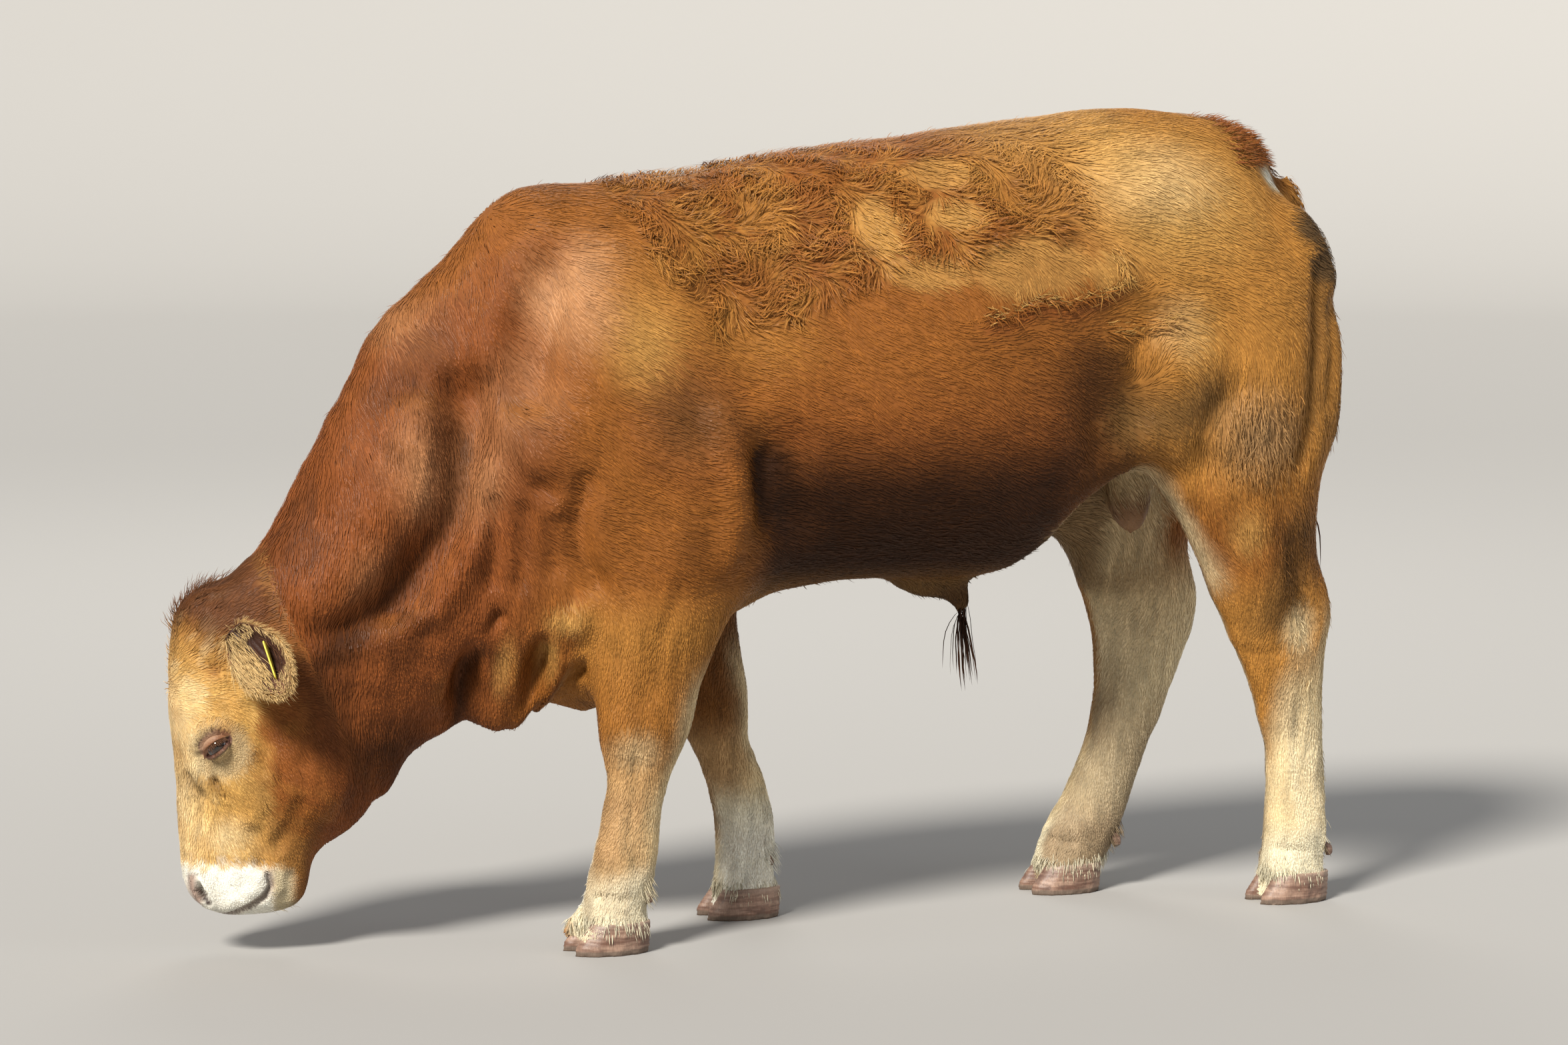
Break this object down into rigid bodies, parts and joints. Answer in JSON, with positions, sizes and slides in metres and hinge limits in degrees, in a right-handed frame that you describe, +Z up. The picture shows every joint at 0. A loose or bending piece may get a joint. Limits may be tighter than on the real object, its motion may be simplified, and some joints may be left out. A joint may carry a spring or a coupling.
{
  "type": "young bull, grazing, life-size still animal model",
  "caption": "Life-size young beef bull without horns, grazing with its head down and its legs in a slow stride, with a plain ear tag.",
  "frame": {"origin": "on the floor, below the middle of the whole animal's box", "axes": "+Z up; the head points to -X; the animal's left side faces -Y"},
  "size_m": [2.0362, 0.55, 1.345],
  "materials": {
    "red_coat": "short red-brown hair, softly glossy",
    "tan_coat": "short orange-tan hair, softly glossy",
    "pale_coat": "longer cream and blond hair, matt",
    "dark_hair": "coarse dark red-brown hair, dull",
    "eye": "wet and very glossy",
    "horn": "pinkish brown hoof horn, satin, with growth rings",
    "tag": "yellow plastic, satin, plain"
  },
  "bodies": {
    "root": {"chest": "red_coat", "barrel": "red_coat", "hindquarters": "tan_coat", "neck": "red_coat", "dewlap": "red_coat", "head": "tan_coat", "eye_left": "eye", "eye_right": "eye", "ear_left": "pale_coat", "ear_right": "pale_coat", "ear_tag": "tag", "foreleg_left": "tan_coat", "foreleg_left_claw_outer": "horn", "foreleg_left_claw_inner": "horn", "foreleg_left_dewclaw_outer": "horn", "foreleg_left_dewclaw_inner": "horn", "foreleg_right": "tan_coat", "foreleg_right_claw_outer": "horn", "foreleg_right_claw_inner": "horn", "foreleg_right_dewclaw_outer": "horn", "foreleg_right_dewclaw_inner": "horn", "hindleg_left": "tan_coat", "hindleg_left_claw_outer": "horn", "hindleg_left_claw_inner": "horn", "hindleg_left_dewclaw_outer": "horn", "hindleg_left_dewclaw_inner": "horn", "hindleg_right": "tan_coat", "hindleg_right_claw_outer": "horn", "hindleg_right_claw_inner": "horn", "hindleg_right_dewclaw_outer": "horn", "hindleg_right_dewclaw_inner": "horn", "tail": "dark_hair", "tail_switch": "dark_hair", "sheath": "red_coat", "sheath_tuft": "dark_hair", "scrotum": "red_coat"}
  },
  "joints": []
}
